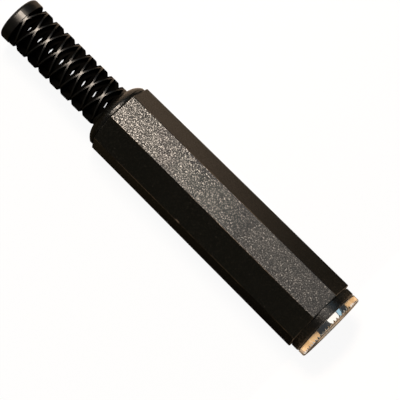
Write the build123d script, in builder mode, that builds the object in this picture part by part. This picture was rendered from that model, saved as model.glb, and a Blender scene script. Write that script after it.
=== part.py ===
from build123d import *
import math
import os

os.makedirs("parts", exist_ok=True)

# Inline stereo jack socket. X is the jack's axis and points out of the mouth, Z is up.
# The origin is the centre of the bush's front face, so what lies deeper has a lower X.
# All sizes are in millimetres.

# The plug that the socket takes, with the depths at which the blades touch it
plug_diameter = 6.35
plug_reach = 31.75
ring_contact_depth = 22.4
tip_contact_depth = 27.9
tip_groove_diameter = 4.4
blade_preload = 0.3

# Front bush, turned and plated
bore_clearance = 0.05
flange_diameter = 13.68
flange_thickness = 1.4
flange_corner_chamfer = 0.15
flange_back_chamfer = 0.15
mouth_diameter = 8.1
thread_diameter = 11.4
thread_depth = 0.25
thread_length = 6.4
thread_lead_in = 0.4
spigot_wall = 0.475
stake_lip_width = 0.2
stake_lip_thickness = 0.5
serration_count = 64
serration_depth = 0.25
serration_half_angle = 40

# Cover, a moulded octagonal barrel with draft
flange_gap = 0.05
front_collar_diameter = 13.76
front_collar_length = 1.65
barrel_sides = 8
flats_front = 13.78
barrel_draft = 0.283
barrel_length = 49.7
barrel_edge_round = 0.25
barrel_end_chamfer = 0.12
rear_collar_diameter = 13.22
rear_collar_length = 0.45
shadow_line_width = 0.2
shadow_line_depth = 0.15
collar_chamfer = 0.15
dome_length = 1.38
dome_end_diameter = 9.0
dome_bulge = 0.3
thread_clearance = 0.1
thread_bore_length = 7.2
cover_bore_front = 10.95
cover_bore_rear = 10.7
rear_wall = 0.45

# Strain relief, a soft slotted sleeve seated in the cover's rear hole
sleeve_diameter = 8.62
sleeve_bore = 5.4
sleeve_clearance = 0.05
sleeve_flange_diameter = 10.4
sleeve_flange_thickness = 1.5
sleeve_entry_chamfer = 0.6
sleeve_clocking = 6.4
slotted_length = 21.8
cap_diameter = 8.84
cap_length = 2.1
cap_round = 0.6
cap_shoulder = 0.1
core_wall = 0.5
web_thickness = 0.8
opening_count = 8
opening_pitch = 2.785
opening_start = 0.7
far_half_shift = -1.25
rib_width = 0.28
cross_neck_width = 0.46
cross_neck_height = 0.4
opening_span = 7.7
slit_width = 0.62
near_slit_span = 3.0
far_slit_span = 2.2
notch_depth = 0.66
notch_steep_run = 0.42
notch_easy_run = 1.05
notch_lip = 0.06
dip_depth = 0.22
dip_run = 0.35
dip_distance = 1.65

# Contact stack, riveted to the frame behind the plug's tip
frame_thickness = 0.65
frame_ring_diameter = 10.4
arm_offset = 4.6
arm_width = 4.4
arm_fold_round = 0.6
wafer_thickness = 0.5
blade_thickness = 0.35
blade_width = 2.2
blade_bend = 0.5
blade_clear = 0.25
window_clear = 0.4
stack_clear = 1.65
stack_length = 7.6
stack_width = 4.8
rivet_edge = 1.9
rivet_diameter = 1.3
rivet_head_diameter = 1.9
rivet_head_height = 0.45
rivet_head_chamfer = 0.3
rivet_fit = 0.02
rivet_sleeve_diameter = 1.9
rivet_sleeve_fit = 0.025
tag_length = 5.5
tag_hole_diameter = 1.1
tag_hole_inset = 1.3
clamp_gap = 0.5
clamp_length = 2.8
clamp_height = 3.4
clamp_bend = 0.9

# Places along the axis
flange_back = -flange_thickness
thread_back = flange_back - thread_length
frame_back = thread_back - frame_thickness
bush_back = frame_back - stake_lip_thickness
cover_front = flange_back - flange_gap
thread_bore_back = cover_front - thread_bore_length
barrel_front = cover_front - front_collar_length
barrel_back = barrel_front - barrel_length
dome_front = barrel_back - shadow_line_width - rear_collar_length
dome_back = dome_front - dome_length
stack_front = -plug_reach - stack_clear
stack_back = stack_front - stack_length
tag_back = stack_back - tag_length
sleeve_shoulder = barrel_back + rear_wall
sleeve_front = sleeve_shoulder + sleeve_flange_thickness
clamp_back = sleeve_front + clamp_gap
slot_front = dome_back
slot_back = slot_front - slotted_length
cap_back = slot_back - cap_length

# Radii and heights that the pieces share
bore_radius = plug_diameter / 2 + bore_clearance
flange_radius = flange_diameter / 2
thread_radius = thread_diameter / 2
thread_root_radius = thread_radius - thread_depth
spigot_radius = bore_radius + spigot_wall
stake_radius = spigot_radius + stake_lip_width
sleeve_radius = sleeve_diameter / 2
sleeve_bore_radius = sleeve_bore / 2
core_radius = sleeve_bore_radius + core_wall
arm_inner = arm_offset - frame_thickness
blade_outer = arm_inner - wafer_thickness
blade_inner = blade_outer - blade_thickness
blade_middle = (blade_outer + blade_inner) / 2
rivet_places = ((stack_front - rivet_edge, 0), (stack_back + rivet_edge, 0))


def plate(depth_front, depth_back, width, corner):
    """Draw a rounded rectangle between two depths, with the stack's rivet holes still to come."""
    with Locations(((depth_front + depth_back) / 2, 0)):
        RectangleRounded(depth_front - depth_back, width, corner)


def rivet_holes(radius):
    """Cut the two rivet holes out of the sketch being drawn."""
    with Locations(*rivet_places):
        Circle(radius, mode=Mode.SUBTRACT)


# Octagonal barrel with softened edges, round collars and a domed rear shoulder
with BuildPart() as cover:
    with BuildSketch(Plane.YZ.offset(barrel_front)):
        RegularPolygon(flats_front / 2, barrel_sides, major_radius=False, rotation=180 / barrel_sides)
    extrude(amount=-barrel_length)
    barrel_flats = cover.faces().filter_by(Axis.X, reverse=True)
    draft(barrel_flats, Plane.YZ.offset(barrel_front), -barrel_draft)
    fillet(cover.edges().filter_by(lambda edge: abs(edge.tangent_at(0.5).X) > 0.9), barrel_edge_round)
    barrel_ends = cover.faces().filter_by(Axis.X)
    chamfer(barrel_ends.edges(), barrel_end_chamfer)
    with BuildSketch(Plane.XZ):
        with BuildLine():
            front_radius = front_collar_diameter / 2
            rear_radius = rear_collar_diameter / 2
            Polyline(
                (dome_back, 0),
                (cover_front, 0),
                (cover_front, front_radius - collar_chamfer),
                (cover_front - collar_chamfer, front_radius),
                (barrel_front + shadow_line_width, front_radius),
                (barrel_front + shadow_line_width, front_radius - shadow_line_depth),
                (barrel_front - barrel_length / 2, front_radius - shadow_line_depth - collar_chamfer),
                (barrel_back - shadow_line_width, rear_radius - shadow_line_depth),
                (barrel_back - shadow_line_width, rear_radius),
                (dome_front, rear_radius),
            )
            dome_end_radius = dome_end_diameter / 2
            SagittaArc((dome_front, rear_radius), (dome_back, dome_end_radius), -dome_bulge)
            Line((dome_back, dome_end_radius), (dome_back, 0))
        make_face()
    revolve(axis=Axis.X)
    with BuildSketch(Plane.XZ):
        with BuildLine():
            hole_radius = sleeve_radius + sleeve_clearance
            thread_bore_radius = thread_radius + thread_clearance
            Polyline(
                (dome_back - dome_length, 0),
                (cover_front + flange_thickness, 0),
                (cover_front + flange_thickness, thread_bore_radius),
                (thread_bore_back, thread_bore_radius),
                (thread_bore_back, cover_bore_front / 2),
                (sleeve_shoulder, cover_bore_rear / 2),
                (sleeve_shoulder, hole_radius),
                (dome_back - dome_length, hole_radius),
                close=True,
            )
        make_face()
    revolve(axis=Axis.X, mode=Mode.SUBTRACT)
cover.part.label = "cover"
export_step(cover.part, "parts/cover.step")


# One mould half's pockets: lens openings between crossing ribs, and the triangles beside each crossing
lens_half = (opening_pitch - cross_neck_width) / 2
neck_half = cross_neck_height / 2
rib_slope = lens_half / (opening_span / 2 - neck_half)
rib_run = rib_width * math.hypot(1, rib_slope)
triangle_tip = neck_half + (rib_run - cross_neck_width / 2) / rib_slope
triangle_half = rib_slope * (sleeve_radius - triangle_tip)
openings = [slot_front - opening_start - level * opening_pitch for level in range(opening_count)]
far_openings = [place + far_half_shift for place in openings]

with BuildPart() as mould_half:
    with BuildSketch(Plane.XY.offset(web_thickness / 2)):
        with Locations(*[(place, 0) for place in openings]):
            Polygon(
                (lens_half, -neck_half),
                (lens_half, neck_half),
                (0, opening_span / 2),
                (-lens_half, neck_half),
                (-lens_half, -neck_half),
                (0, -opening_span / 2),
                align=None,
            )
        with Locations(*[(place - opening_pitch / 2, 0) for place in openings]):
            for side in (1, -1):
                Polygon(
                    (0, side * triangle_tip),
                    (triangle_half, side * sleeve_radius),
                    (triangle_half, side * sleeve_diameter),
                    (-triangle_half, side * sleeve_diameter),
                    (-triangle_half, side * sleeve_radius),
                    align=None,
                )
    extrude(amount=sleeve_radius)
    with BuildSketch(Plane.YZ.offset(cap_back)):
        Circle(core_radius)
    extrude(amount=dome_front - cap_back, mode=Mode.SUBTRACT)


def slit(span):
    """Draw the diamond slit that pierces the core in the middle of an opening."""
    Polygon((slit_width / 2, 0), (0, span / 2), (-slit_width / 2, 0), (0, -span / 2), align=None)


with BuildPart() as slits:
    with BuildSketch(Plane.XY):
        with Locations(*[(place, 0) for place in openings]):
            slit(near_slit_span)
    extrude(amount=sleeve_radius)
    with BuildSketch(Plane.XY):
        with Locations(*[(place, 0) for place in far_openings]):
            slit(far_slit_span)
    extrude(amount=-sleeve_radius)

# Outline of the middle web's edge: a deep notch with a rounded lobe, then a shallow dip
with BuildSketch() as edge_profile:
    with BuildLine():
        TangentArc((-notch_easy_run, notch_lip), (0, -notch_depth), tangent=(1, 0))
        Polyline(
            (0, -notch_depth),
            (2 * notch_steep_run, notch_depth),
            (-notch_easy_run, notch_depth),
            (-notch_easy_run, notch_lip),
        )
    make_face()
    with Locations((-dip_distance, 0)):
        Polygon((0, -dip_depth), (dip_run, dip_depth), (-dip_run, dip_depth), align=None)

with BuildPart() as edge_notches:
    with BuildSketch(Plane.XY):
        with Locations(*[(place, sleeve_radius) for place in far_openings]):
            add(edge_profile.sketch)
        with Locations(*[(place, -sleeve_radius) for place in openings]):
            add(edge_profile.sketch, rotation=180)
    extrude(amount=sleeve_radius, both=True)

with BuildPart() as strain_relief:
    with BuildSketch(Plane.XZ):
        with Locations((slot_back, sleeve_bore_radius)):
            Rectangle(slotted_length, sleeve_radius - sleeve_bore_radius, align=(Align.MIN, Align.MIN))
    revolve(axis=Axis.X)
    far_half = mould_half.part.rotate(Axis.X, 180).moved(Pos(far_half_shift, 0, 0))
    cutters = [mould_half.part, far_half, slits.part, edge_notches.part]
    add([cutter.rotate(Axis.X, sleeve_clocking) for cutter in cutters], mode=Mode.SUBTRACT)
    with BuildSketch(Plane.XZ):
        with BuildLine():
            Polyline(
                (sleeve_front, sleeve_bore_radius + sleeve_entry_chamfer),
                (sleeve_front, sleeve_flange_diameter / 2),
                (sleeve_shoulder, sleeve_flange_diameter / 2),
                (sleeve_shoulder, sleeve_radius),
                (slot_front, sleeve_radius),
                (slot_front, sleeve_bore_radius),
                (sleeve_front - sleeve_entry_chamfer, sleeve_bore_radius),
                close=True,
            )
        make_face()
        with BuildLine():
            cap_radius = cap_diameter / 2
            Polyline(
                (slot_back, sleeve_bore_radius),
                (slot_back, sleeve_radius),
                (slot_back - cap_shoulder, cap_radius),
                (cap_back, cap_radius),
                (cap_back, sleeve_bore_radius),
                close=True,
            )
        make_face()
    revolve(axis=Axis.X)
    cap_rims = strain_relief.edges().filter_by(GeomType.CIRCLE).group_by(Axis.X)[0]
    fillet(cap_rims.sort_by(SortBy.RADIUS)[-1], cap_round)
strain_relief.part.label = "strain_relief"
export_step(strain_relief.part, "parts/strain_relief.step")


# One serration's cutter: a three-sided bar that lies across the flange's front corner
corner_inset = flange_corner_chamfer / 2 + serration_depth * math.sqrt(0.5)
serration_plane = Plane(
    origin=(-corner_inset, 0, flange_radius - corner_inset), x_dir=(0, 1, 0), z_dir=(-1, 0, 1)
)
serration_reach = 2 * corner_inset
with BuildPart() as serration:
    with BuildSketch(serration_plane):
        serration_half = serration_reach * math.tan(math.radians(serration_half_angle))
        Polygon(
            (0, 0), (serration_half, -serration_reach), (-serration_half, -serration_reach), align=None
        )
    extrude(amount=serration_reach, both=True)

with BuildPart() as front_bush:
    with BuildSketch(Plane.XZ):
        with BuildLine():
            mouth_radius = mouth_diameter / 2
            Polyline(
                (0, mouth_radius),
                (0, flange_radius),
                (flange_back, flange_radius),
                (flange_back, thread_root_radius),
                (thread_back, thread_root_radius),
                (thread_back, spigot_radius),
                (frame_back, spigot_radius),
                (frame_back, stake_radius),
                (bush_back + stake_lip_width, stake_radius),
                (bush_back, spigot_radius),
                (bush_back, bore_radius),
                (bore_radius - mouth_radius, bore_radius),
                close=True,
            )
        make_face()
    revolve(axis=Axis.X)
    round_edges = front_bush.edges().filter_by(GeomType.CIRCLE)
    flange_rims = round_edges.filter_by(lambda edge: edge.radius > flange_radius - flange_back_chamfer)
    thread_rims = round_edges.filter_by(lambda edge: abs(edge.radius - thread_root_radius) < thread_depth)
    chamfer(thread_rims.sort_by(Axis.X)[0], thread_lead_in)
    chamfer(flange_rims.sort_by(Axis.X)[0], flange_back_chamfer)
    chamfer(flange_rims.sort_by(Axis.X)[-1], flange_corner_chamfer)
    turn = 360 / serration_count
    add([serration.part.rotate(Axis.X, tooth * turn) for tooth in range(serration_count)], mode=Mode.SUBTRACT)
front_bush.part.label = "front_bush"
export_step(front_bush.part, "parts/front_bush.step")


# Frame: a disc staked on the bush's spigot, folded into one arm that ends in the cable clamp
with BuildPart() as sleeve_frame:
    with BuildSketch(Plane.YZ.offset(frame_back)):
        Circle(frame_ring_diameter / 2)
        with Locations((0, -arm_offset)):
            Rectangle(
                frame_ring_diameter, frame_ring_diameter, align=(Align.CENTER, Align.MAX), mode=Mode.SUBTRACT
            )
        Circle(spigot_radius + rivet_fit, mode=Mode.SUBTRACT)
    extrude(amount=frame_thickness)
    with BuildSketch(Plane.XY.offset(-arm_offset)):
        with Locations((thread_back, 0)):
            Rectangle(thread_back - clamp_back, arm_width, align=(Align.MAX, Align.CENTER))
        window_front = -ring_contact_depth + 2 * blade_width
        window_width = blade_width + 2 * window_clear
        with Locations(((window_front + stack_front + window_clear) / 2, 0)):
            RectangleRounded(
                window_front - stack_front - window_clear, window_width, window_clear, mode=Mode.SUBTRACT
            )
        rivet_holes(rivet_diameter / 2 + rivet_fit)
        with Locations((stack_back - tag_hole_inset, 0)):
            Circle(tag_hole_diameter / 2, mode=Mode.SUBTRACT)
    extrude(amount=frame_thickness)
    fold_edges = sleeve_frame.edges().filter_by(Axis.Y).group_by(Axis.Z)[0].sort_by(Axis.X)[-1]
    fillet(fold_edges, arm_fold_round)
    with BuildSketch(Plane.YZ.offset(clamp_back)):
        clamp_base = frame_thickness / 2 - arm_offset
        clamp_side = (arm_width - frame_thickness) / 2
        clamp_top = clamp_height - arm_offset
        with BuildLine():
            FilletPolyline(
                (-clamp_side, clamp_top),
                (-clamp_side, clamp_base),
                (clamp_side, clamp_base),
                (clamp_side, clamp_top),
                radius=clamp_bend,
            )
        trace(line_width=frame_thickness)
    extrude(amount=clamp_length)
sleeve_frame.part.label = "sleeve_frame"
export_step(sleeve_frame.part, "parts/sleeve_frame.step")


def blade_path(contact_depth, contact_radius, end_radius, lean):
    """List the corners of a blade's middle line: tag, straight run, then the bend that meets the plug."""
    touch = contact_radius - blade_preload + blade_thickness / 2
    away = plug_diameter / 2 + blade_clear + blade_thickness / 2
    slope = math.tan(math.radians(lean))
    return (
        (tag_back, blade_middle),
        (stack_front + blade_bend, blade_middle),
        (stack_front + stack_clear, away),
        (-contact_depth - abs(away - touch) / slope, away),
        (-contact_depth, touch),
        (-contact_depth + abs(end_radius - touch) / slope, end_radius),
    )


def blade_pad():
    """Draw the wide part of a blade that the rivets hold, seen from above."""
    plate(stack_front, stack_back, stack_width, window_clear)
    rivet_holes(rivet_sleeve_diameter / 2 + rivet_sleeve_fit)


def tag_eye():
    """Draw the hole in a solder tag and the two rivet holes of its blade."""
    with Locations((tag_back + tag_hole_inset, 0)):
        Circle(tag_hole_diameter / 2)
    with Locations(*rivet_places):
        Circle(rivet_sleeve_diameter / 2 + rivet_sleeve_fit)


ring_end_radius = plug_diameter / 2 + blade_clear + blade_thickness / 2
tip_end_radius = tip_groove_diameter / 2 + blade_thickness + blade_clear
ring_lean = 18
tip_lean = 38

# Upper blade, which drops into the groove behind the plug's tip
with BuildPart() as tip_spring:
    with BuildSketch(Plane.XZ):
        with BuildLine():
            tip_path = blade_path(tip_contact_depth, tip_groove_diameter / 2, tip_end_radius, tip_lean)
            FilletPolyline(*tip_path, radius=blade_bend)
        trace(line_width=blade_thickness)
    extrude(amount=blade_width / 2, both=True)
    with BuildSketch(Plane.XY.offset(blade_inner)):
        blade_pad()
    extrude(amount=blade_thickness)
    with BuildSketch(Plane.XY.offset(blade_inner)):
        tag_eye()
    extrude(amount=blade_thickness, mode=Mode.SUBTRACT)
tip_spring.part.label = "tip_spring"
export_step(tip_spring.part, "parts/tip_spring.step")

# Lower blade, which bears on the plug's ring
with BuildPart() as ring_spring:
    with BuildSketch(Plane.XZ):
        with BuildLine():
            ring_path = blade_path(ring_contact_depth, plug_diameter / 2, ring_end_radius, ring_lean)
            FilletPolyline(*ring_path, radius=blade_bend)
        trace(line_width=blade_thickness)
    extrude(amount=blade_width / 2, both=True)
    with BuildSketch(Plane.XY.offset(blade_inner)):
        blade_pad()
    extrude(amount=blade_thickness)
    with BuildSketch(Plane.XY.offset(blade_inner)):
        tag_eye()
    extrude(amount=blade_thickness, mode=Mode.SUBTRACT)
    mirror(about=Plane.XY, mode=Mode.REPLACE)
ring_spring.part.label = "ring_spring"
export_step(ring_spring.part, "parts/ring_spring.step")

# Moulded block that keeps the two blades apart
with BuildPart() as contact_block:
    with BuildSketch(Plane.XY.offset(-blade_inner)):
        plate(stack_front, stack_back, stack_width, window_clear)
        rivet_holes(rivet_sleeve_diameter / 2 + rivet_sleeve_fit)
    extrude(amount=2 * blade_inner)
contact_block.part.label = "contact_block"
export_step(contact_block.part, "parts/contact_block.step")

# Insulating wafers outside the blades
with BuildPart() as lower_wafer:
    with BuildSketch(Plane.XY.offset(-arm_inner)):
        plate(stack_front, stack_back, stack_width, window_clear)
        rivet_holes(rivet_sleeve_diameter / 2 + rivet_sleeve_fit)
    extrude(amount=wafer_thickness)
lower_wafer.part.label = "lower_wafer"
export_step(lower_wafer.part, "parts/lower_wafer.step")

with BuildPart() as upper_wafer:
    with BuildSketch(Plane.XY.offset(blade_outer)):
        plate(stack_front, stack_back, stack_width, window_clear)
        rivet_holes(rivet_sleeve_diameter / 2 + rivet_sleeve_fit)
    extrude(amount=wafer_thickness)
upper_wafer.part.label = "upper_wafer"
export_step(upper_wafer.part, "parts/upper_wafer.step")

# Plate under the upper rivet heads
with BuildPart() as clamp_plate:
    with BuildSketch(Plane.XY.offset(arm_inner)):
        plate(stack_front, stack_back, arm_width, window_clear)
        rivet_holes(rivet_diameter / 2 + rivet_fit)
    extrude(amount=frame_thickness)
clamp_plate.part.label = "clamp_plate"
export_step(clamp_plate.part, "parts/clamp_plate.step")

# Two rivets through the whole stack, with set heads
with BuildPart() as rivets:
    with BuildSketch(Plane.XY.offset(-arm_offset)):
        with Locations(*rivet_places):
            Circle(rivet_diameter / 2)
    extrude(amount=2 * arm_offset)
    for seat in (arm_offset, -arm_offset - rivet_head_height):
        with BuildSketch(Plane.XY.offset(seat)):
            with Locations(*rivet_places):
                Circle(rivet_head_diameter / 2)
        extrude(amount=rivet_head_height)
    head_rims = rivets.edges().filter_by(GeomType.CIRCLE).group_by(Axis.Z)
    chamfer(head_rims[0] + head_rims[-1], rivet_head_chamfer)
rivets.part.label = "rivets"
export_step(rivets.part, "parts/rivets.step")

# Insulating tubes round the rivets, from the frame's arm to the clamp plate
with BuildPart() as rivet_sleeves:
    with BuildSketch(Plane.XY.offset(-arm_inner)):
        with Locations(*rivet_places):
            Circle(rivet_sleeve_diameter / 2)
            Circle(rivet_diameter / 2 + rivet_sleeve_fit, mode=Mode.SUBTRACT)
    extrude(amount=2 * arm_inner)
rivet_sleeves.part.label = "rivet_sleeves"
export_step(rivet_sleeves.part, "parts/rivet_sleeves.step")
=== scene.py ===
"""Looks of an inline stereo jack socket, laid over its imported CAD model.

X is the jack's axis and points out of the mouth, Z is up, lengths are in metres and angles in degrees.
"""

import logging
import math
from dataclasses import dataclass
from enum import Enum

import bpy
from mathutils import Matrix, Vector


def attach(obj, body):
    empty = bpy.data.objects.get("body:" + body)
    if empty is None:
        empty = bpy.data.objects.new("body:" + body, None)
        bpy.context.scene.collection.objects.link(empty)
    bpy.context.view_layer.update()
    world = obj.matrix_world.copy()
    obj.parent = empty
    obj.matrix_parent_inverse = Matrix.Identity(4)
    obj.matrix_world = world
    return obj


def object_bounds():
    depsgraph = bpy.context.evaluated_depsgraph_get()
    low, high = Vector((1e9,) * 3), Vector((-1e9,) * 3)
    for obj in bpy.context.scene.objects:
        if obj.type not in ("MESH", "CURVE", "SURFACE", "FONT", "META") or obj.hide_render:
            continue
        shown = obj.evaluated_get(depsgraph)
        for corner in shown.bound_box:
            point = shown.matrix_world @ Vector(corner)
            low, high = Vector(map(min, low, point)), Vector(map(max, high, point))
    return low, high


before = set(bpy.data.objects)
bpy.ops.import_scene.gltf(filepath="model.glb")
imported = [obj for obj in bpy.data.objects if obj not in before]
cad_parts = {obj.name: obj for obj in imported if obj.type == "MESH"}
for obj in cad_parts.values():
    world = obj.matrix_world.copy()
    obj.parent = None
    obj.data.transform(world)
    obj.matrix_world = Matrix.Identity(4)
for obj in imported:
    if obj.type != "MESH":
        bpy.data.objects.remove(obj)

CAD_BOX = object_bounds()
PHOTO_PIXELS = 400
MM = 0.001
WHITE = (1.0, 1.0, 1.0, 1.0)

logging.basicConfig(level=logging.INFO, format="%(name)s: %(message)s")
log = logging.getLogger("jack_socket")

Pair = tuple[float, float]
Triple = tuple[float, float, float]
Colour = tuple[float, float, float, float]


class Body(Enum):
    """The CAD bodies that a piece can ride on."""

    SHELL = "shell"
    INSERT = "insert"


class Op(Enum):
    """Operations of the Math and Vector Math nodes."""

    ABSOLUTE = "ABSOLUTE"
    ADD = "ADD"
    DIVIDE = "DIVIDE"
    DOT_PRODUCT = "DOT_PRODUCT"
    GREATER_THAN = "GREATER_THAN"
    LENGTH = "LENGTH"
    LESS_THAN = "LESS_THAN"
    MAXIMUM = "MAXIMUM"
    MULTIPLY = "MULTIPLY"
    MULTIPLY_ADD = "MULTIPLY_ADD"
    NORMALIZE = "NORMALIZE"
    POWER = "POWER"
    SCALE = "SCALE"
    SQRT = "SQRT"
    SUBTRACT = "SUBTRACT"


class Wire(Enum):
    """Kinds of socket on a node group."""

    VALUE = "NodeSocketFloat"
    VECTOR = "NodeSocketVector"


class Blend(Enum):
    """What a Mix node mixes: its data type and the places of its lower input, upper input and result."""

    VALUE = ("FLOAT", 2, 3, 0)
    COLOUR = ("RGBA", 6, 7, 2)


class Tint(Enum):
    """Colours of lamplight."""

    WARM = (1.0, 0.86, 0.72)
    PALE = (1.0, 0.97, 0.93)
    COOL = (0.5, 0.8, 1.0)
    TAN = (1.0, 0.6, 0.28)


@dataclass(frozen=True)
class Grain:
    """A noise's look: the length of one lump, the layers of finer noise and their strength."""

    size: float
    detail: float = 2.0
    rough: float = 0.5


class Sheet:
    """A node tree with short calls for laying nodes and wires."""

    def __init__(self, tree: bpy.types.NodeTree) -> None:
        """Take over the node tree of a material, a world or a group."""
        self.tree = tree

    def node(self, kind: str, **settings: object) -> bpy.types.Node:
        """Lay one node and set its properties.

        Args:
            kind: Blender's name of the node type.
            settings: Property values by property name.

        Returns:
            The new node.
        """
        made = self.tree.nodes.new(kind)
        for name, value in settings.items():
            setattr(made, name, value)
        return made

    def feed(self, socket: bpy.types.NodeSocket, source: object) -> None:
        """Wire a socket to another one, or give it a plain value.

        Args:
            socket: The input to fill.
            source: An output socket, a number, a vector or a colour.
        """
        if isinstance(source, bpy.types.NodeSocket):
            self.tree.links.new(source, socket)
        else:
            socket.default_value = source

    def fill(self, made: bpy.types.Node, **inputs: object) -> bpy.types.Node:
        """Fill a node's inputs.

        Args:
            made: The node.
            inputs: Values or sockets by input name, with _ for a space.

        Returns:
            The same node.
        """
        for name, source in inputs.items():
            self.feed(made.inputs[name.replace("_", " ")], source)
        return made

    def group(self, tree: bpy.types.NodeTree, **inputs: object) -> bpy.types.Node:
        """Place a node group and fill its inputs by name."""
        return self.fill(self.node("ShaderNodeGroup", node_tree=tree), **inputs)

    def surface(self, shader: bpy.types.Node, output: str = "ShaderNodeOutputMaterial") -> None:
        """Wire a shader node to the tree's output."""
        self.feed(self.node(output).inputs["Surface"], shader.outputs[0])

    def object_place(self) -> bpy.types.NodeSocket:
        """Return the socket of the piece's own coordinates."""
        return self.node("ShaderNodeTexCoord").outputs["Object"]

    def maths(self, operation: Op, *terms: object, clamp: bool = False) -> bpy.types.NodeSocket:
        """Lay a Math node.

        Args:
            operation: What the node does.
            terms: Output sockets or numbers, in order.
            clamp: Whether the result is held between 0 and 1.

        Returns:
            The result's socket.
        """
        made = self.node("ShaderNodeMath", operation=operation.value, use_clamp=clamp)
        for place, term in enumerate(terms):
            self.feed(made.inputs[place], term)
        return made.outputs[0]

    def vectors(self, operation: Op, *terms: object, scale: object = None) -> bpy.types.NodeSocket:
        """Lay a Vector Math node.

        Args:
            operation: What the node does.
            terms: Output sockets or vectors, in order.
            scale: The factor of the SCALE operation.

        Returns:
            The result's socket, a number for a length or a dot product and a vector otherwise.
        """
        made = self.node("ShaderNodeVectorMath", operation=operation.value)
        for place, term in enumerate(terms):
            self.feed(made.inputs[place], term)
        if scale is not None:
            self.feed(made.inputs["Scale"], scale)
        return made.outputs["Value" if operation in (Op.DOT_PRODUCT, Op.LENGTH) else "Vector"]

    def span(
        self, value: object, low: float, high: float, start: float = 0.0, end: float = 1.0
    ) -> bpy.types.NodeSocket:
        """Map a stretch of values smoothly onto another.

        Args:
            value: The socket to map.
            low: The value that gives start.
            high: The value that gives end.
            start: The result at low and beyond it.
            end: The result at high and beyond it.

        Returns:
            The mapped value's socket.
        """
        made = self.node("ShaderNodeMapRange", interpolation_type="SMOOTHSTEP")
        self.fill(made, Value=value, From_Min=low, From_Max=high, To_Min=start, To_Max=end)
        return made.outputs["Result"]

    def noise(self, vector: object, grain: Grain) -> bpy.types.NodeSocket:
        """Lay a noise.

        Args:
            vector: The coordinates' socket.
            grain: The noise's look.

        Returns:
            The noise value's socket.
        """
        made = self.node("ShaderNodeTexNoise")
        self.fill(made, Vector=vector, Scale=1.0 / grain.size, Detail=grain.detail, Roughness=grain.rough)
        return made.outputs["Fac"]

    def stretch(self, vector: object, scale: Triple) -> bpy.types.NodeSocket:
        """Scale coordinates by one factor per axis."""
        return self.fill(self.node("ShaderNodeMapping"), Vector=vector, Scale=scale).outputs["Vector"]

    def mix(
        self, share: object, under: object, over: object, kind: Blend = Blend.COLOUR
    ) -> bpy.types.NodeSocket:
        """Mix two colours or two values.

        Args:
            share: How much of the upper one shows.
            under: The lower one.
            over: The upper one.
            kind: What is mixed.

        Returns:
            The mixture's socket.
        """
        data_type, lower, upper, result = kind.value
        made = self.node("ShaderNodeMix", data_type=data_type)
        self.feed(made.inputs["Factor"], share)
        self.feed(made.inputs[lower], under)
        self.feed(made.inputs[upper], over)
        return made.outputs[result]

    def bump(self, height: object, depth: float, normal: object = None) -> bpy.types.NodeSocket:
        """Turn a height into a normal.

        Args:
            height: The height's socket, from 0 to 1.
            depth: The depth that a height of 1 stands for.
            normal: A normal's socket that the height is added to.

        Returns:
            The normal's socket.
        """
        made = self.fill(self.node("ShaderNodeBump"), Distance=depth, Height=height)
        if normal is not None:
            self.feed(made.inputs["Normal"], normal)
        return made.outputs["Normal"]

    def axis_distance(self, vector: object) -> tuple[bpy.types.NodeSocket, bpy.types.NodeSocket]:
        """Split coordinates into the place along the jack's axis and the distance from it.

        Args:
            vector: The coordinates' socket.

        Returns:
            The sockets of the place along the axis and of the distance from it.
        """
        parts = self.node("ShaderNodeSeparateXYZ")
        self.feed(parts.inputs[0], vector)
        squares = [self.maths(Op.POWER, parts.outputs[axis], 2.0) for axis in ("Y", "Z")]
        return parts.outputs["X"], self.maths(Op.SQRT, self.maths(Op.ADD, *squares))

    def outwardness(self, vector: object) -> bpy.types.NodeSocket:
        """Measure how squarely a surface faces away from the jack's axis.

        Args:
            vector: The coordinates' socket.

        Returns:
            The cosine of the angle between the normal and the direction away from the axis.
        """
        away = self.vectors(Op.NORMALIZE, self.vectors(Op.MULTIPLY, vector, (0.0, 1.0, 1.0)))
        normal = self.node("ShaderNodeNewGeometry").outputs["Normal"]
        return self.vectors(Op.DOT_PRODUCT, normal, away)


def new_material(name: str) -> tuple[bpy.types.Material, Sheet]:
    """Make a material with an empty node tree.

    Args:
        name: The material's name.

    Returns:
        The material and its sheet.
    """
    material = bpy.data.materials.new(name)
    material.use_nodes = True
    material.node_tree.nodes.clear()
    return material, Sheet(material.node_tree)


def new_group(
    name: str, inputs: dict[str, Wire], outputs: dict[str, Wire]
) -> tuple[Sheet, bpy.types.Node, bpy.types.Node]:
    """Start a shader node group.

    Args:
        name: The group's name.
        inputs: Kinds of socket by input name.
        outputs: Kinds of socket by output name.

    Returns:
        The group's sheet, its input node and its output node.
    """
    tree = bpy.data.node_groups.new(name, "ShaderNodeTree")
    for side, sockets in (("INPUT", inputs), ("OUTPUT", outputs)):
        for label, kind in sockets.items():
            tree.interface.new_socket(name=label, in_out=side, socket_type=kind.value)
    sheet = Sheet(tree)
    return sheet, sheet.node("NodeGroupInput"), sheet.node("NodeGroupOutput")


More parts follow.
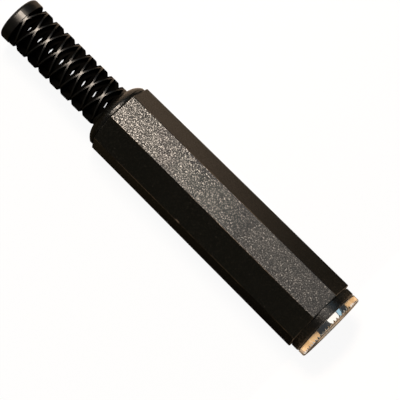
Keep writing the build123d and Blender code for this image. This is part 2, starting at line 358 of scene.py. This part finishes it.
@dataclass(frozen=True)
class SparkGrain:
    """The pitted grain that a spark-eroded mould leaves, with each lump tilted its own way."""

    lump_detail: float = 1.0
    lump_rough: float = 0.25
    pit_scale: float = 0.8
    pit_share: float = 0.15
    glint: Pair = (0.5, 0.72)
    mean_colour: Triple = (0.5, 0.5, 0.5)

    def build(self) -> bpy.types.NodeTree:
        """Build the group.

        Returns:
            The group's tree.
        """
        sheet, given, out = new_group(
            "spark_grain",
            {"Vector": Wire.VECTOR, "Grain": Wire.VALUE, "Tilt": Wire.VALUE},
            {"Height": Wire.VALUE, "Glint": Wire.VALUE, "Normal": Wire.VECTOR},
        )
        place = given.outputs["Vector"]
        scale = sheet.maths(Op.DIVIDE, 1.0, given.outputs["Grain"])
        lumps = sheet.node("ShaderNodeTexNoise")
        sheet.fill(lumps, Vector=place, Scale=scale, Detail=self.lump_detail, Roughness=self.lump_rough)
        pits = sheet.node("ShaderNodeTexVoronoi", feature="F1")
        sheet.fill(pits, Vector=place, Scale=sheet.maths(Op.MULTIPLY, scale, self.pit_scale))
        height = sheet.maths(
            Op.ADD,
            sheet.maths(Op.MULTIPLY, lumps.outputs["Fac"], 1.0 - self.pit_share),
            sheet.maths(Op.MULTIPLY, pits.outputs["Distance"], self.pit_share),
        )
        lean = sheet.vectors(Op.SUBTRACT, lumps.outputs["Color"], self.mean_colour)
        lean = sheet.vectors(Op.SCALE, lean, scale=given.outputs["Tilt"])
        normal = sheet.node("ShaderNodeNewGeometry").outputs["Normal"]
        tilted = sheet.vectors(Op.NORMALIZE, sheet.vectors(Op.ADD, normal, lean))
        glint = sheet.span(lumps.outputs["Fac"], *self.glint)
        sheet.fill(out, Height=height, Glint=glint, Normal=tilted)
        return sheet.tree


@dataclass(frozen=True)
class Handling:
    """The smudges, dust and rubbed streaks of a handled part."""

    smudge: Grain = Grain(9 * MM, 4.0, 0.6)
    smudge_span: Pair = (0.38, 0.68)
    dust: Grain = Grain(0.45 * MM, 1.0)
    dust_span: Pair = (0.7, 0.78)
    streak: Grain = Grain(0.9 * MM, 3.0, 0.65)
    streak_span: Pair = (0.58, 0.74)
    streak_stretch: Triple = (0.12, 1.0, 1.0)

    def build(self) -> bpy.types.NodeTree:
        """Build the group.

        Returns:
            The group's tree.
        """
        sheet, given, out = new_group(
            "handling",
            {"Vector": Wire.VECTOR},
            {"Smudge": Wire.VALUE, "Dust": Wire.VALUE, "Rub": Wire.VALUE},
        )
        place = given.outputs["Vector"]
        along = sheet.stretch(place, self.streak_stretch)
        sheet.fill(
            out,
            Smudge=sheet.span(sheet.noise(place, self.smudge), *self.smudge_span),
            Dust=sheet.span(sheet.noise(place, self.dust), *self.dust_span),
            Rub=sheet.span(sheet.noise(along, self.streak), *self.streak_span),
        )
        return sheet.tree


@dataclass(frozen=True)
class ToolMarks:
    """The fine rings that a lathe tool leaves on faces and on round walls."""

    face_lean: Pair = (0.85, 0.95)
    bevel_lean: Pair = (0.5, 0.65)
    ring_detail: float = 2.0

    def build(self) -> bpy.types.NodeTree:
        """Build the group.

        Returns:
            The group's tree.
        """
        sheet, given, out = new_group(
            "tool_marks",
            {"Vector": Wire.VECTOR, "Feed": Wire.VALUE},
            {"Height": Wire.VALUE, "Facing": Wire.VALUE, "Bevel": Wire.VALUE},
        )
        turn = sheet.node("ShaderNodeSeparateXYZ")
        sheet.feed(turn.inputs[0], sheet.node("ShaderNodeNewGeometry").outputs["Normal"])
        lean = sheet.maths(Op.ABSOLUTE, turn.outputs["X"])
        facing = sheet.span(lean, *self.face_lean)
        rings = []
        for travel in sheet.axis_distance(given.outputs["Vector"]):
            ring = sheet.node("ShaderNodeTexNoise", noise_dimensions="1D")
            turns = sheet.maths(Op.DIVIDE, travel, given.outputs["Feed"])
            sheet.fill(ring, W=turns, Scale=1.0, Detail=self.ring_detail)
            rings.append(ring.outputs["Fac"])
        sheet.fill(
            out,
            Height=sheet.mix(facing, *rings, Blend.VALUE),
            Facing=facing,
            Bevel=sheet.maths(Op.SUBTRACT, sheet.span(lean, *self.bevel_lean), facing),
        )
        return sheet.tree


class EffectLibrary:
    """The shader node groups that several finishes share."""

    def __init__(self) -> None:
        """Build each group once."""
        self.spark_grain = SparkGrain().build()
        self.handling = Handling().build()
        self.tool_marks = ToolMarks().build()


class Finish:
    """A finish that makes one material."""

    def start(self, name: str) -> tuple[bpy.types.Material, Sheet, bpy.types.Node]:
        """Make a material with its surface shader.

        Args:
            name: The material's name.

        Returns:
            The material, its sheet and its Principled shader.
        """
        material, sheet = new_material(name)
        shader = sheet.node("ShaderNodeBsdfPrincipled")
        sheet.surface(shader)
        return material, sheet, shader


@dataclass(frozen=True)
class SparkPlastic(Finish):
    """Black moulded plastic with a spark-eroded grain, pale specks that are partly grain tone and partly
    painted glints, and a painted sheen along its long edges, as on the cover.
    """

    deep: Colour = (0.0022, 0.0021, 0.0016, 1.0)
    # The pale colour goes on as specks on the highest grain lumps, partly grain tone and partly painted
    # glints.
    pale: Colour = (0.012, 0.0112, 0.0088, 1.0)
    pale_share: float = 0.7
    dust: Colour = (0.25, 0.22, 0.19, 1.0)
    dust_share: float = 0.05
    scuff: Colour = (0.1, 0.08, 0.062, 1.0)
    scuff_place: Triple = (-31.95 * MM, -6.75 * MM, 2.85 * MM)
    scuff_size: Triple = (0.75 * MM, 0.3 * MM, 0.3 * MM)
    scuff_fade: Pair = (1.0, 0.4)
    # Painted sheen on the barrel's long edges: its lighter colour and the mask that places it.
    edge_sheen: Colour = (0.075, 0.055, 0.036, 1.0)
    sheen_radius: float = 7.3 * MM
    sheen_taper: float = 0.0053
    sheen_turn: Pair = (0.95, 0.98)
    rear_line: Pair = (-53.0 * MM, -52.78 * MM)
    grain: float = 0.22 * MM
    tilt: float = 0.3
    depth: float = 0.012 * MM
    roughness: Pair = (0.25, 0.2)
    refraction: float = 1.46

    def scuffed(self, sheet: Sheet, place: bpy.types.NodeSocket) -> bpy.types.NodeSocket:
        """Mask the small scuff on one of the barrel's edges.

        Args:
            sheet: The material's sheet.
            place: The coordinates' socket.

        Returns:
            The mask's socket.
        """
        offset = sheet.vectors(Op.SUBTRACT, place, self.scuff_place)
        away = sheet.vectors(Op.LENGTH, sheet.vectors(Op.DIVIDE, offset, self.scuff_size))
        return sheet.span(away, *self.scuff_fade)

    def edges(self, sheet: Sheet, place: bpy.types.NodeSocket) -> bpy.types.NodeSocket:
        """Mask the rounded long edges of the tapered barrel, which take the painted sheen.

        Args:
            sheet: The material's sheet.
            place: The coordinates' socket.

        Returns:
            The mask's socket.
        """
        along, radius = sheet.axis_distance(place)
        untapered = sheet.maths(Op.MULTIPLY_ADD, along, -self.sheen_taper, radius)
        return sheet.maths(
            Op.MULTIPLY,
            sheet.maths(Op.GREATER_THAN, untapered, self.sheen_radius),
            sheet.span(sheet.outwardness(place), *self.sheen_turn),
        )

    def groove(self, sheet: Sheet, place: bpy.types.NodeSocket) -> bpy.types.NodeSocket:
        """Mask the narrow groove behind the barrel.

        Args:
            sheet: The material's sheet.
            place: The coordinates' socket.

        Returns:
            The mask's socket.
        """
        along, _ = sheet.axis_distance(place)
        return sheet.maths(
            Op.MULTIPLY,
            sheet.maths(Op.GREATER_THAN, along, self.rear_line[0]),
            sheet.maths(Op.LESS_THAN, along, self.rear_line[1]),
        )

    def make(self, effects: EffectLibrary) -> bpy.types.Material:
        """Make the material.

        Args:
            effects: The shared node groups.

        Returns:
            The finished material.
        """
        material, sheet, shader = self.start("spark_plastic")
        place = sheet.object_place()
        grain = sheet.group(effects.spark_grain, Vector=place, Grain=self.grain, Tilt=self.tilt)
        handled = sheet.group(effects.handling, Vector=place)
        # Pale specks: partly the grain's own tone, partly painted glints.
        grain_and_painted_glints = sheet.maths(Op.MULTIPLY, grain.outputs["Glint"], self.pale_share)
        colour = sheet.mix(grain_and_painted_glints, self.deep, self.pale)
        dusty = sheet.maths(Op.MULTIPLY, handled.outputs["Dust"], self.dust_share)
        colour = sheet.mix(dusty, colour, self.dust)
        colour = sheet.mix(self.scuffed(sheet, place), colour, self.scuff)
        # Painted sheen: the long edges are lightened in smudge-shaped patches, standing in for highlights
        # along the edges.
        worn = sheet.maths(Op.MULTIPLY, self.edges(sheet, place), handled.outputs["Smudge"])
        colour = sheet.mix(worn, colour, self.edge_sheen)
        gloss = sheet.span(handled.outputs["Smudge"], 0.0, 1.0, *self.roughness)
        sheet.fill(
            shader,
            Base_Color=colour,
            Roughness=sheet.maths(Op.MAXIMUM, gloss, self.groove(sheet, place)),
            Normal=sheet.bump(grain.outputs["Height"], self.depth, grain.outputs["Normal"]),
            IOR=self.refraction,
        )
        return material


@dataclass(frozen=True)
class GlossSleeve(Finish):
    """Black soft moulding, glossy on its outer skin and matt in its pockets, as on the strain relief."""

    deep: Colour = (0.0012, 0.0011, 0.001, 1.0)
    pale: Colour = (0.004, 0.0036, 0.0032, 1.0)
    skin_radius: Pair = (4.1 * MM, 4.24 * MM)
    skin_turn: Pair = (0.55, 0.8)
    cap_start: Pair = (-76.6 * MM, -76.7 * MM)
    coat: Pair = (1.0, 0.7)
    coat_roughness: float = 0.31
    pocket_roughness: float = 0.9
    ripple: Grain = Grain(0.9 * MM, 3.0, 0.6)
    depth: float = 0.012 * MM

    def make(self, effects: EffectLibrary) -> bpy.types.Material:
        """Make the material.

        Args:
            effects: The shared node groups.

        Returns:
            The finished material.
        """
        material, sheet, shader = self.start("gloss_sleeve")
        place = sheet.object_place()
        smudge = sheet.group(effects.handling, Vector=place).outputs["Smudge"]
        along, radius = sheet.axis_distance(place)
        skin = sheet.maths(
            Op.MAXIMUM, sheet.span(radius, *self.skin_radius), sheet.span(along, *self.cap_start)
        )
        skin = sheet.maths(Op.MULTIPLY, skin, sheet.span(sheet.outwardness(place), *self.skin_turn))
        sheet.fill(
            shader,
            Base_Color=sheet.mix(smudge, self.deep, self.pale),
            Coat_Weight=sheet.maths(Op.MULTIPLY, skin, sheet.span(smudge, 0.0, 1.0, *self.coat)),
            Normal=sheet.bump(sheet.noise(place, self.ripple), self.depth),
            Roughness=self.pocket_roughness,
            Specular_IOR_Level=0.0,
            Coat_Roughness=self.coat_roughness,
        )
        return material


@dataclass(frozen=True)
class PlatedTurning(Finish):
    """Turned brass with a nickel plating, bright on its walls and dull and speckled on its faces."""

    bright: Colour = (0.8, 0.78, 0.745, 1.0)
    dull: Colour = (0.3, 0.255, 0.215, 1.0)
    deep: Colour = (0.11, 0.09, 0.075, 1.0)
    pale: Colour = (0.62, 0.57, 0.51, 1.0)
    face_share: float = 0.85
    smudge_share: float = 0.15
    speck: Grain = Grain(0.24 * MM, 2.0, 0.6)
    deep_specks: Pair = (0.5, 0.36)
    deep_share: float = 0.7
    pale_specks: Pair = (0.56, 0.7)
    pale_share: float = 0.75
    rings: Pair = (0.5, 0.66)
    ring_share: float = 0.35
    feed_width: float = 0.15 * MM
    depth: float = 0.005 * MM
    roughness: Pair = (0.08, 0.38)
    bevel_roughness: float = 0.3

    def make(self, effects: EffectLibrary) -> bpy.types.Material:
        """Make the material.

        Args:
            effects: The shared node groups.

        Returns:
            The finished material.
        """
        material, sheet, shader = self.start("plated_turning")
        place = sheet.object_place()
        marks = sheet.group(effects.tool_marks, Vector=place, Feed=self.feed_width)
        handled = sheet.group(effects.handling, Vector=place)
        facing, height = marks.outputs["Facing"], marks.outputs["Height"]
        worn = sheet.maths(
            Op.ADD,
            sheet.maths(Op.MULTIPLY, facing, self.face_share),
            sheet.maths(Op.MULTIPLY, handled.outputs["Smudge"], self.smudge_share),
            clamp=True,
        )
        colour = sheet.mix(worn, self.bright, self.dull)
        specks = sheet.noise(place, self.speck)
        for value, ends, share, tone in (
            (specks, self.deep_specks, self.deep_share, self.deep),
            (specks, self.pale_specks, self.pale_share, self.pale),
            (height, self.rings, self.ring_share, self.deep),
        ):
            mask = sheet.maths(Op.MULTIPLY, sheet.span(value, *ends), facing)
            colour = sheet.mix(sheet.maths(Op.MULTIPLY, mask, share), colour, tone)
        gloss = sheet.span(worn, 0.0, 1.0, *self.roughness)
        bevel = sheet.maths(Op.MULTIPLY, marks.outputs["Bevel"], self.bevel_roughness)
        sheet.fill(
            shader,
            Base_Color=colour,
            Roughness=sheet.maths(Op.MAXIMUM, gloss, bevel),
            Normal=sheet.bump(height, self.depth),
            Metallic=1.0,
        )
        return material


@dataclass(frozen=True)
class PressedMetal(Finish):
    """Rolled sheet metal with its rolling marks running along the part."""

    name: str
    bright: Colour
    dull: Colour
    roughness: Pair = (0.22, 0.42)
    rolling: Grain = Grain(0.12 * MM)
    rolling_stretch: Triple = (0.04, 1.0, 1.0)
    depth: float = 0.005 * MM

    def make(self, effects: EffectLibrary) -> bpy.types.Material:
        """Make the material.

        Args:
            effects: The shared node groups.

        Returns:
            The finished material.
        """
        material, sheet, shader = self.start(self.name)
        place = sheet.object_place()
        handled = sheet.group(effects.handling, Vector=place)
        rolled = sheet.noise(sheet.stretch(place, self.rolling_stretch), self.rolling)
        tarnish = sheet.maths(Op.MAXIMUM, handled.outputs["Smudge"], handled.outputs["Rub"])
        sheet.fill(
            shader,
            Base_Color=sheet.mix(tarnish, self.bright, self.dull),
            Roughness=sheet.span(tarnish, 0.0, 1.0, *self.roughness),
            Normal=sheet.bump(rolled, self.depth),
            Metallic=1.0,
        )
        return material


@dataclass(frozen=True)
class LaminatedBoard(Finish):
    """Brown paper laminate, as on the wafers, block and rivet tubes."""

    deep: Colour = (0.085, 0.034, 0.012, 1.0)
    pale: Colour = (0.2, 0.095, 0.038, 1.0)
    fibre: Grain = Grain(0.35 * MM, 4.0, 0.65)
    fibre_stretch: Triple = (0.3, 1.0, 3.0)
    fibre_span: Pair = (0.3, 0.7)
    depth: float = 0.02 * MM
    roughness: Pair = (0.5, 0.38)

    def make(self, effects: EffectLibrary) -> bpy.types.Material:
        """Make the material.

        Args:
            effects: The shared node groups.

        Returns:
            The finished material.
        """
        material, sheet, shader = self.start("laminated_board")
        place = sheet.object_place()
        smudge = sheet.group(effects.handling, Vector=place).outputs["Smudge"]
        fibres = sheet.noise(sheet.stretch(place, self.fibre_stretch), self.fibre)
        sheet.fill(
            shader,
            Base_Color=sheet.mix(sheet.span(fibres, *self.fibre_span), self.deep, self.pale),
            Roughness=sheet.span(smudge, 0.0, 1.0, *self.roughness),
            Normal=sheet.bump(fibres, self.depth),
        )
        return material


class SubAssembly:
    """Pieces that move as one CAD body."""

    body: Body

    def dress(self, node: str, material: bpy.types.Material) -> None:
        """Give a CAD node its finish.

        Args:
            node: The node's name.
            material: The finish's material.
        """
        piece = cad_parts[node]
        piece.data.materials.clear()
        piece.data.materials.append(material)
        log.info("dressed %s of the %s in %s", node, self.body.value, material.name)


@dataclass(frozen=True)
class Shell(SubAssembly):
    """The cover and the sleeve that is seated in it."""

    body: Body = Body.SHELL
    cover: SparkPlastic = SparkPlastic()
    sleeve: GlossSleeve = GlossSleeve()

    def build(self, effects: EffectLibrary) -> None:
        """Dress the shell's nodes."""
        self.dress("cover", self.cover.make(effects))
        self.dress("strain_relief", self.sleeve.make(effects))


@dataclass(frozen=True)
class BushThread:
    """The fine thread that is wound round the bush's plain root cylinder."""

    root_radius: float = 5.45 * MM
    crest_radius: float = 5.74 * MM
    sunk: float = 0.05 * MM
    pitch: float = 0.75 * MM
    back: float = -7.15 * MM
    turns: int = 7
    steps: int = 48
    corners: int = 3
    smooth_angle: float = 30.0

    def build(self, material: bpy.types.Material) -> None:
        """Wind a three-sided ridge along the bush and close its ends.

        Args:
            material: The bush's own finish.
        """
        bpy.ops.object.select_all(action="DESELECT")
        bpy.ops.mesh.primitive_circle_add(vertices=self.corners, radius=1.0, fill_type="NOTHING")
        ridge = bpy.context.object
        ridge.name = "bush_thread"
        # A triangle in a circle of radius 1 is 1.5 high and sqrt(3) wide.
        height = (self.crest_radius - self.root_radius + self.sunk) / 1.5
        width = self.pitch / math.sqrt(3)
        bpy.ops.object.mode_set(mode="EDIT")
        bpy.ops.mesh.select_all(action="SELECT")
        bpy.ops.transform.resize(value=(width, height, 1.0), center_override=(0, 0, 0))
        bpy.ops.transform.rotate(value=-math.pi / 2, orient_axis="X", center_override=(0, 0, 0))
        bpy.ops.transform.translate(value=(self.back, 0, self.crest_radius - height))
        bpy.ops.object.mode_set(mode="OBJECT")
        winding = ridge.modifiers.new("winding", "SCREW")
        winding.axis = "X"
        winding.screw_offset = self.pitch
        winding.iterations = self.turns
        winding.steps = self.steps
        winding.render_steps = self.steps
        bpy.ops.object.modifier_apply(modifier=winding.name)
        bpy.ops.object.mode_set(mode="EDIT")
        bpy.ops.mesh.select_all(action="SELECT")
        bpy.ops.mesh.fill_holes(sides=self.corners)
        bpy.ops.mesh.select_all(action="SELECT")
        bpy.ops.mesh.normals_make_consistent(inside=False)
        bpy.ops.object.mode_set(mode="OBJECT")
        bpy.ops.object.shade_smooth_by_angle(angle=math.radians(self.smooth_angle))
        ridge.data.materials.clear()
        ridge.data.materials.append(material)
        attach(ridge, Body.INSERT.value)
        log.info("wound %s, %d faces", ridge.name, len(ridge.data.polygons))


@dataclass(frozen=True)
class Insert(SubAssembly):
    """The bush, its frame and the contact stack."""

    body: Body = Body.INSERT
    turning: PlatedTurning = PlatedTurning()
    thread: BushThread = BushThread()
    pressing: PressedMetal = PressedMetal(
        "plated_pressing", bright=(0.7, 0.68, 0.64, 1.0), dull=(0.46, 0.43, 0.39, 1.0)
    )
    blade: PressedMetal = PressedMetal(
        "silvered_bronze", bright=(0.74, 0.66, 0.5, 1.0), dull=(0.5, 0.4, 0.25, 1.0)
    )
    brass: PressedMetal = PressedMetal(
        "plain_brass", bright=(0.8, 0.62, 0.3, 1.0), dull=(0.5, 0.35, 0.14, 1.0)
    )
    board: LaminatedBoard = LaminatedBoard()

    def build(self, effects: EffectLibrary) -> None:
        """Dress the insert's nodes and wind the bush's thread.

        Args:
            effects: The shared node groups.
        """
        turning = self.turning.make(effects)
        self.dress("front_bush", turning)
        self.thread.build(turning)
        for finish, nodes in (
            (self.pressing, ("sleeve_frame", "clamp_plate")),
            (self.blade, ("ring_spring", "tip_spring")),
            (self.brass, ("rivets",)),
            (self.board, ("contact_block", "lower_wafer", "upper_wafer", "rivet_sleeves")),
        ):
            material = finish.make(effects)
            for node in nodes:
                self.dress(node, material)


@dataclass(frozen=True)
class Camera:
    """The photograph's viewpoint: nearly overhead, leaning towards the mouth."""

    pixel: float = 0.176 * MM
    distance_pixels: float = 2300.0
    lean: float = 6.85
    roll: float = 15.64
    turn: float = 44.78
    target_x: float = -32.26 * MM
    side_pixels: float = -1.46
    clip: Pair = (0.01, 20.0)

    def across(self) -> Vector:
        """Return the direction square to the jack that lies in the picture."""
        roll = math.radians(self.roll)
        return Vector((0, math.cos(roll), math.sin(roll)))

    def axes(self) -> tuple[Vector, Vector, Vector]:
        """Work out the picture's right, up and backward directions.

        Returns:
            The three unit vectors.
        """
        lean, turn = math.radians(self.lean), math.radians(self.turn)
        along = Vector((1, 0, 0))
        across = self.across()
        towards = along.cross(across)
        drawn = along * math.cos(lean) - towards * math.sin(lean)
        back = along * math.sin(lean) + towards * math.cos(lean)
        right = drawn * math.cos(turn) + across * math.sin(turn)
        up = across * math.cos(turn) - drawn * math.sin(turn)
        return right, up, back

    def build(self) -> None:
        """Place the camera and make it the scene's own."""
        right, up, back = self.axes()
        target = Vector((self.target_x, 0, 0)) + self.across() * self.side_pixels * self.pixel
        data = bpy.data.cameras.new("camera")
        data.sensor_fit = "AUTO"
        data.angle = 2 * math.atan(PHOTO_PIXELS / 2 / self.distance_pixels)
        data.clip_start, data.clip_end = self.clip
        camera = bpy.data.objects.new("camera", data)
        place = Matrix((right, up, back)).transposed().to_4x4()
        place.translation = target + back * self.distance_pixels * self.pixel
        camera.matrix_world = place
        bpy.context.scene.collection.objects.link(camera)
        bpy.context.scene.camera = camera


@dataclass(frozen=True)
class Lamp:
    """One soft rectangular lamp that faces a point of the object."""

    name: str
    direction: Triple
    distance: float
    size: Pair
    radiance: float
    tint: Tint
    aim: Triple = (-39.0 * MM, 0.0, 0.0)

    def build(self) -> None:
        """Place the lamp with its first side along the jack."""
        data = bpy.data.lights.new(self.name, "AREA")
        data.shape = "RECTANGLE"
        data.size, data.size_y = self.size
        data.energy = self.radiance * math.pi * self.size[0] * self.size[1]
        data.color = self.tint.value
        lamp = bpy.data.objects.new(self.name, data)
        back = Vector(self.direction).normalized()
        along = (Vector((1, 0, 0)) - back * back.x).normalized()
        place = Matrix((along, back.cross(along), back)).transposed().to_4x4()
        place.translation = Vector(self.aim) + back * self.distance
        lamp.matrix_world = place
        lamp.visible_camera = False
        bpy.context.scene.collection.objects.link(lamp)


def lay_plane(name: str, along: Pair, across: Pair, lift: float) -> bpy.types.Object:
    """Lay a flat rectangle at the height that the object rests on.

    Args:
        name: The plane's name.
        along: Its ends along X.
        across: Its ends along Y.
        lift: Its height above the object's lowest point.

    Returns:
        The plane.
    """
    bpy.ops.object.select_all(action="DESELECT")
    middle = (sum(along) / 2, sum(across) / 2, CAD_BOX[0].z + lift)
    bpy.ops.mesh.primitive_plane_add(size=1.0, location=middle)
    plane = bpy.context.object
    plane.name = name
    plane.scale = (along[1] - along[0], across[1] - across[0], 1.0)
    bpy.ops.object.transform_apply(location=True, rotation=True, scale=True)
    return plane


@dataclass(frozen=True)
class Card:
    """A card that lies on the floor for the object to mirror, out of the camera's sight, its colour running
    from rear to front as a painted fall-off of light.
    """

    name: str
    along: Pair
    across: Pair
    rear: Colour
    front: Colour
    painted_falloff: Pair = (-62 * MM, -6 * MM)
    lift: float = 0.02 * MM

    def build(self) -> None:
        """Lay the card a hair above the floor."""
        card = lay_plane(self.name, self.along, self.across, self.lift)
        material, sheet = new_material(self.name)
        along, _ = sheet.axis_distance(sheet.object_place())
        # Painted fall-off: the card runs from its rear colour to its front colour along the jack, standing
        # in for light that falls off towards the mouth.
        painted_falloff_colour = sheet.mix(sheet.span(along, *self.painted_falloff), self.rear, self.front)
        sheet.surface(sheet.fill(sheet.node("ShaderNodeBsdfDiffuse"), Color=painted_falloff_colour))
        card.data.materials.append(material)
        card.visible_camera = False
        card.visible_shadow = False


@dataclass(frozen=True)
class Studio:
    """A white floor, a dim room, soft lamps and the cards that the object mirrors."""

    floor_ends: Pair = (-3.0, 3.0)
    floor_white: float = 0.93
    floor_grey: Colour = (0.85, 0.85, 0.85, 1.0)
    horizon: Colour = (0.095, 0.09, 0.066, 1.0)
    overhead: Colour = (0.04, 0.045, 0.05, 1.0)
    sky_heights: Pair = (0.2, 0.6)
    lamps: tuple[Lamp, ...] = (
        Lamp("key_lamp", (-0.25, 0.08, 0.8), 0.84, (0.12, 0.26), 70.0, Tint.WARM),
        Lamp("edge_lamp", (-0.22, -0.2, 0.8), 0.84, (0.12, 0.2), 18.0, Tint.WARM),
        Lamp("panel_lamp", (0.06, 0.132, 0.8), 0.81, (0.36, 0.52), 1.25, Tint.PALE),
        Lamp("strip_lamp", (0.0, 0.58, 0.8), 0.98, (0.36, 0.22), 0.8, Tint.COOL),
        Lamp("front_lamp", (0.9, 0.0, 0.4), 0.85, (0.36, 0.9), 1.0, Tint.PALE),
        Lamp("rear_lamp", (-0.9, 0.0, 0.4), 0.85, (0.36, 0.9), 1.0, Tint.PALE),
        Lamp("near_lamp", (0, -1, 0), 12 * MM, (2 * MM, 19 * MM), 0.85, Tint.TAN, (-0.5 * MM, 0, 2.7 * MM)),
        Lamp("far_lamp", (0, 1, 0), 12 * MM, (2 * MM, 14 * MM), 0.85, Tint.TAN, (-0.5 * MM, 0, 2.9 * MM)),
    )
    card_border: float = -1.6 * MM
    card_length: float = 0.6
    card_width: float = 0.8
    mouth_brown: Colour = (0.45, 0.36, 0.27, 1.0)
    cards: tuple[Card, ...] = (
        # Painted shade: a dark sheet beside the barrel, where the floor lies in the object's shade, for the
        # plastic to mirror.
        Card(
            "painted_shade_card",
            along=(-card_length, card_border),
            across=(-card_width, 0.0),
            rear=(0.03, 0.025, 0.016, 1.0),
            front=(0.012, 0.011, 0.008, 1.0),
        ),
        # Painted fall-off: the brown card darkens about tenfold towards the mouth, standing in for less
        # light reaching the front.
        Card(
            "brown_card",
            along=(-card_length, card_border),
            across=(0.0, card_width),
            rear=(0.47, 0.385, 0.31, 1.0),
            front=(0.045, 0.041, 0.033, 1.0),
        ),
        Card(
            "mouth_card",
            along=(card_border, card_length),
            across=(-card_width, card_width),
            rear=mouth_brown,
            front=mouth_brown,
        ),
    )

    def lay_floor(self) -> None:
        """Lay the floor under the part, white to the eye and still shaded a little by it."""
        floor = lay_plane("floor", self.floor_ends, self.floor_ends, 0.0)
        material, sheet = new_material("floor_white")
        diffuse = sheet.fill(sheet.node("ShaderNodeBsdfDiffuse"), Color=self.floor_grey)
        glow = sheet.node("ShaderNodeEmission")
        rays = sheet.node("ShaderNodeLightPath")
        seen = sheet.maths(Op.MAXIMUM, rays.outputs["Is Camera Ray"], rays.outputs["Is Glossy Ray"])
        seen = sheet.maths(Op.MAXIMUM, seen, rays.outputs["Is Transmission Ray"])
        blend = sheet.node("ShaderNodeMixShader")
        sheet.feed(blend.inputs[0], sheet.maths(Op.MULTIPLY, seen, self.floor_white))
        sheet.feed(blend.inputs[1], diffuse.outputs[0])
        sheet.feed(blend.inputs[2], glow.outputs[0])
        sheet.surface(blend)
        floor.data.materials.append(material)

    def colour_room(self) -> None:
        """Colour the room: brownish at the horizon, darker overhead, and white behind the object."""
        world = bpy.data.worlds.new("room")
        bpy.context.scene.world = world
        world.use_nodes = True
        world.node_tree.nodes.clear()
        sheet = Sheet(world.node_tree)
        parts = sheet.node("ShaderNodeSeparateXYZ")
        sheet.feed(parts.inputs[0], sheet.node("ShaderNodeTexCoord").outputs["Generated"])
        sky = sheet.mix(sheet.span(parts.outputs["Z"], *self.sky_heights), self.horizon, self.overhead)
        rays = sheet.node("ShaderNodeLightPath")
        seen = sheet.maths(Op.MAXIMUM, rays.outputs["Is Camera Ray"], rays.outputs["Is Transmission Ray"])
        ground = sheet.fill(sheet.node("ShaderNodeBackground"), Color=sheet.mix(seen, sky, WHITE))
        sheet.surface(ground, "ShaderNodeOutputWorld")

    def build(self) -> None:
        """Build the floor, the room, the lamps and the cards."""
        bpy.context.scene.view_settings.view_transform = "Standard"
        self.lay_floor()
        self.colour_room()
        for fitting in (*self.lamps, *self.cards):
            fitting.build()
            log.info("set up %s", fitting.name)


def main() -> None:
    """Build the scene."""
    effects = EffectLibrary()
    Shell().build(effects)
    Insert().build(effects)
    Camera().build()
    Studio().build()


if __name__ == "__main__":
    main()
